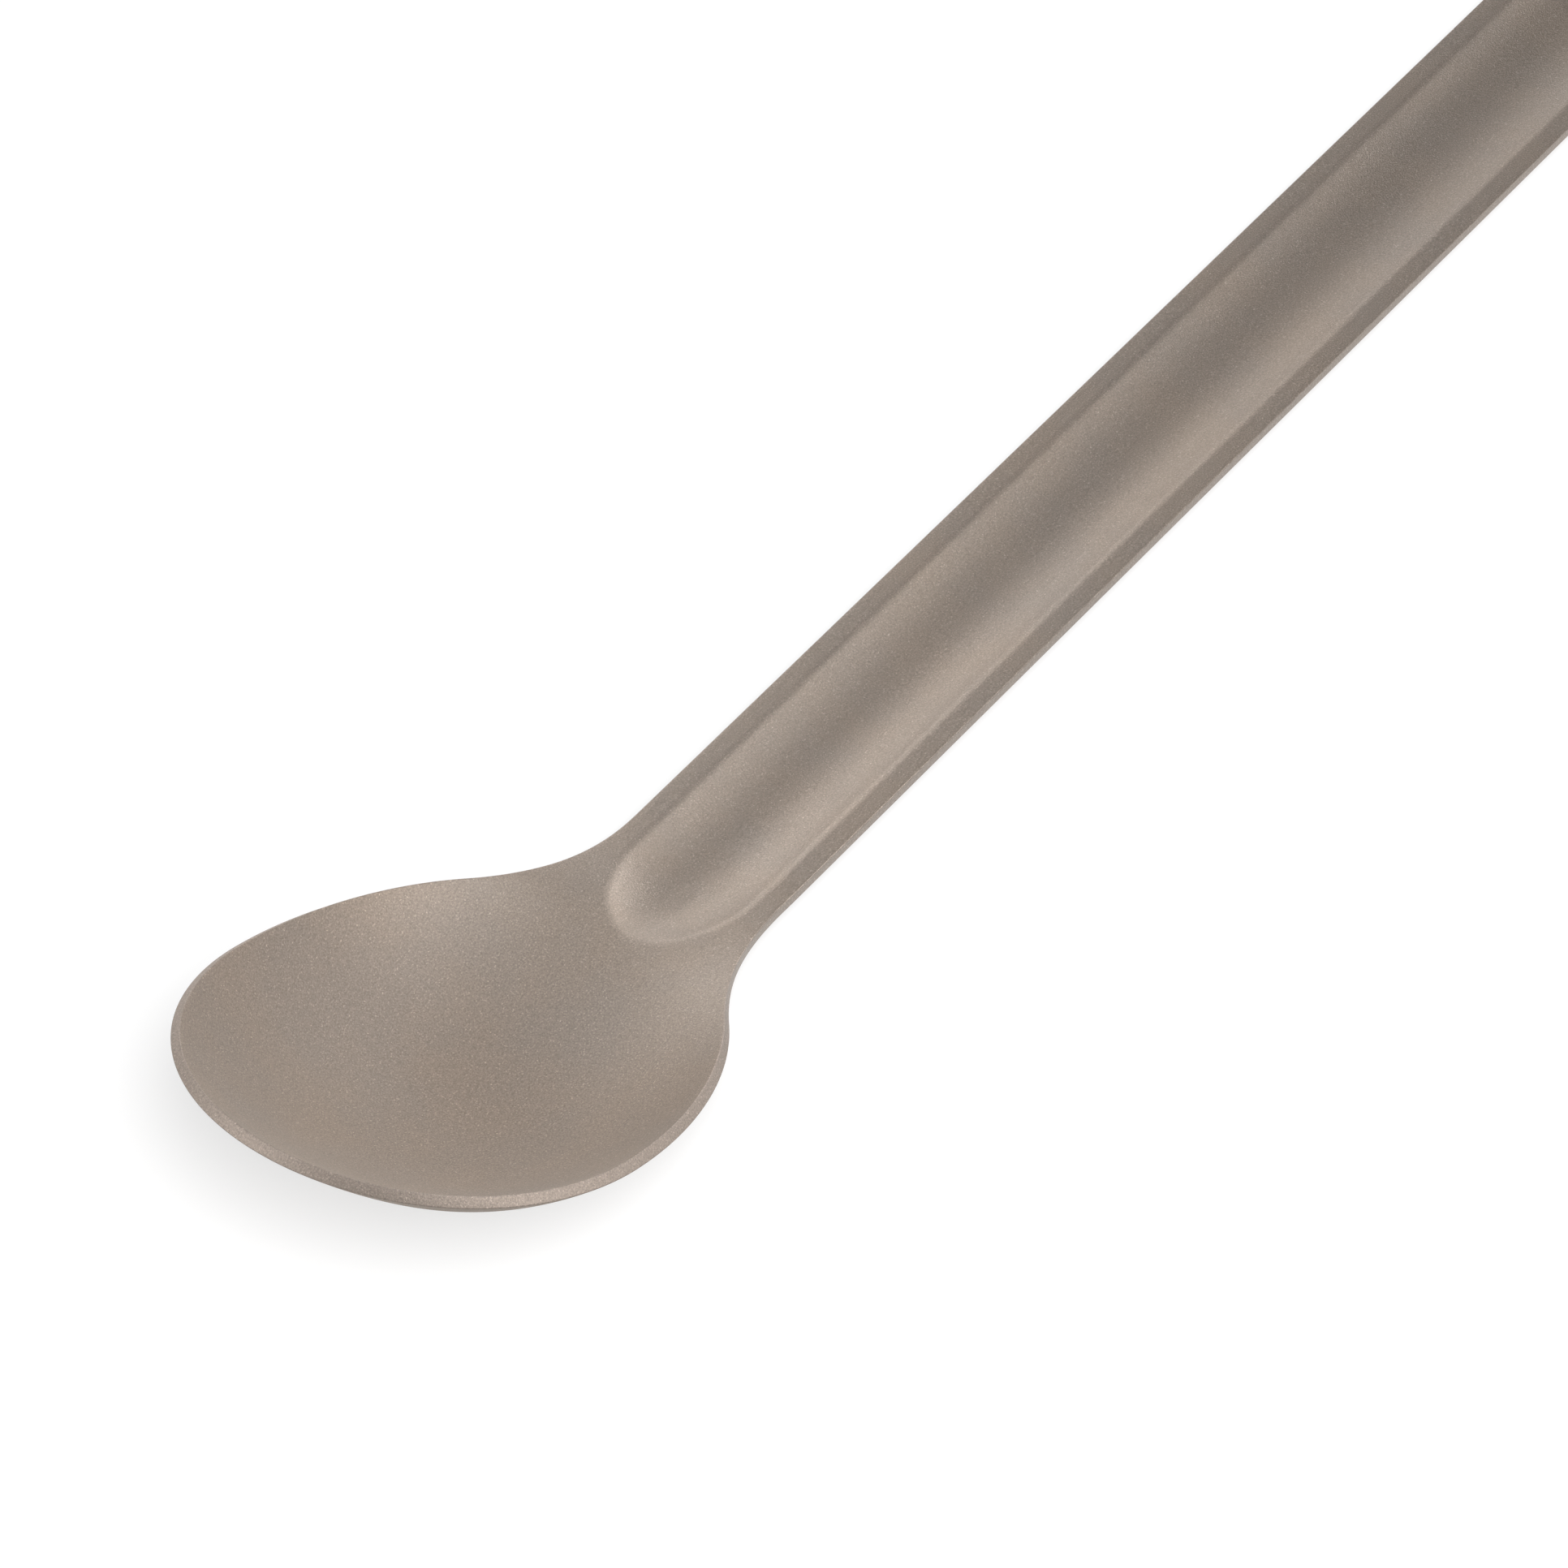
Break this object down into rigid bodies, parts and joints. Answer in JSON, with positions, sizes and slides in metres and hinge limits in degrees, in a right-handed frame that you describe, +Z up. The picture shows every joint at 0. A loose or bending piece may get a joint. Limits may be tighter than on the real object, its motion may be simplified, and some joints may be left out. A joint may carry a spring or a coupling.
{
  "type": "spoon",
  "caption": "Long-handled spoon pressed from titanium sheet, with an egg-shaped bowl, a bent neck, a stiffening channel along the handle and a hanging hole.",
  "frame": {"origin": "on the table that the spoon rests on, below the middle of the spoon's box", "axes": "+X along the handle towards the hanging hole, +Y across the spoon, +Z up out of the bowl"},
  "size_m": [0.2202, 0.0392, 0.0195],
  "materials": {
    "titanium": "bead-blasted, matte warm grey"
  },
  "bodies": {
    "root": {"spoon": "titanium"}
  },
  "joints": []
}
